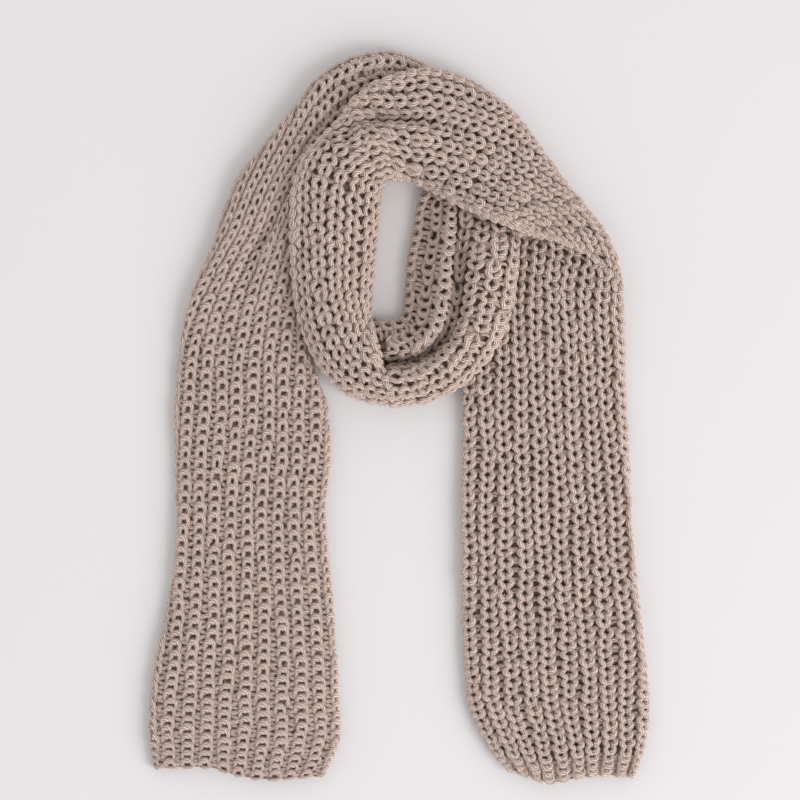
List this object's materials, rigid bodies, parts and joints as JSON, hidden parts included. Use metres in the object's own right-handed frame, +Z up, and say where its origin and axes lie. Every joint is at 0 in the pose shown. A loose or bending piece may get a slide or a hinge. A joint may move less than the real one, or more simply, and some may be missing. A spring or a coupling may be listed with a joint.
{
  "type": "knit scarf",
  "caption": "Chunky rib-knit scarf wound once round an open neck loop and laid out flat, its two tails side by side.",
  "frame": {"origin": "on the surface that the scarf lies on, under the middle of its box", "axes": "+Y up the laid-out scarf, from the tails' ends to the neck; +X to the right, seen from above; +Z up, off the surface"},
  "size_m": [0.4968, 0.7289, 0.0372],
  "materials": {
    "knit_yarn": "matte chunky yarn, slightly fuzzy"
  },
  "bodies": {
    "root": {"tail_left": "knit_yarn", "shoulder_left": "knit_yarn", "neck_back": "knit_yarn", "loop_right": "knit_yarn", "loop_bottom": "knit_yarn", "loop_left": "knit_yarn", "neck_front": "knit_yarn", "shoulder_right": "knit_yarn", "tail_right": "knit_yarn"}
  },
  "joints": []
}
